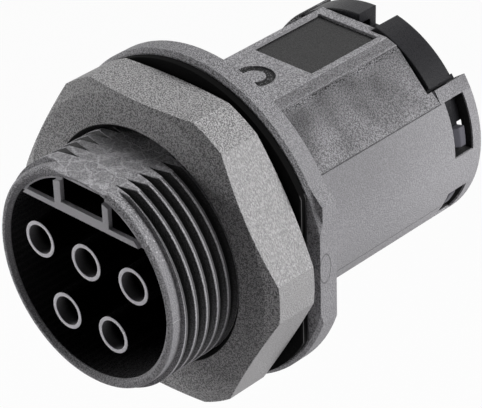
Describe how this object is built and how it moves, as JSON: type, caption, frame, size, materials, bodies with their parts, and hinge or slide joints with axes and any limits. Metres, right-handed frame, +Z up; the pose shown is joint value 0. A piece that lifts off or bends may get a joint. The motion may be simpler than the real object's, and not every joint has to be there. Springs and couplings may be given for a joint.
{
  "type": "circular panel connector",
  "caption": "Panel-mount round female power connector: threaded barrel with a flat, hexagon lock nut, gasketed flange, sleeve with a snap-in terminal insert and push-in wire clamps.",
  "frame": {"origin": "on the barrel's axis in the front face of the gasket, where the panel seats", "axes": "+Y runs along the axis from the mating face to the wire end, +Z up to the flat on the sleeve, +X to the right seen from the mating face"},
  "size_m": [0.0356, 0.0458, 0.0362],
  "materials": {
    "grey_polyamide": "matte, fine grain",
    "dark_polyamide": "satin",
    "black_rubber": "matte",
    "tinned_brass": "bright tin plate",
    "spring_steel": "satin",
    "button_plastic": "satin"
  },
  "bodies": {
    "housing_body": {"housing": "grey_polyamide", "panel_gasket": "black_rubber", "contact_carrier": "dark_polyamide", "terminal_cover": "dark_polyamide", "socket_contact_1": "tinned_brass", "clamp_spring_1": "spring_steel", "socket_contact_2": "tinned_brass", "clamp_spring_2": "spring_steel", "socket_contact_3": "tinned_brass", "clamp_spring_3": "spring_steel", "socket_contact_4": "tinned_brass", "clamp_spring_4": "spring_steel", "socket_contact_5": "tinned_brass", "clamp_spring_5": "spring_steel"},
    "washer_body": {"slip_washer": "dark_polyamide"},
    "nut_body": {"lock_nut": "grey_polyamide"},
    "button_1_body": {"release_button_1": "button_plastic"},
    "button_2_body": {"release_button_2": "button_plastic"},
    "button_3_body": {"release_button_3": "button_plastic"},
    "button_4_body": {"release_button_4": "button_plastic"},
    "button_5_body": {"release_button_5": "button_plastic"}
  },
  "joints": [
    {"name": "nut_travel", "type": "slide", "parent": "housing_body", "child": "washer_body", "axis": [0, 1, 0], "range_m": [-0.0084, 0.00012]},
    {"name": "nut_spin", "type": "hinge", "parent": "washer_body", "child": "nut_body", "pos_m": [0, 0, 0], "axis": [0, 1, 0], "range_deg": [-2017, 28.2]},
    {"name": "release_1", "type": "slide", "parent": "housing_body", "child": "button_1_body", "axis": [0, -1, 0], "range_m": [0, 0.0015], "stiffness_N_per_m": 4000, "deforming": ["clamp_spring_1"]},
    {"name": "release_2", "type": "slide", "parent": "housing_body", "child": "button_2_body", "axis": [0, -1, 0], "range_m": [0, 0.0015], "stiffness_N_per_m": 4000, "deforming": ["clamp_spring_2"]},
    {"name": "release_3", "type": "slide", "parent": "housing_body", "child": "button_3_body", "axis": [0, -1, 0], "range_m": [0, 0.0015], "stiffness_N_per_m": 4000, "deforming": ["clamp_spring_3"]},
    {"name": "release_4", "type": "slide", "parent": "housing_body", "child": "button_4_body", "axis": [0, -1, 0], "range_m": [0, 0.0015], "stiffness_N_per_m": 4000, "deforming": ["clamp_spring_4"]},
    {"name": "release_5", "type": "slide", "parent": "housing_body", "child": "button_5_body", "axis": [0, -1, 0], "range_m": [0, 0.0015], "stiffness_N_per_m": 4000, "deforming": ["clamp_spring_5"]}
  ],
  "couplings": [
    {"joint": "nut_spin", "follows": "nut_travel", "rad_per_m": 4188.8}
  ]
}
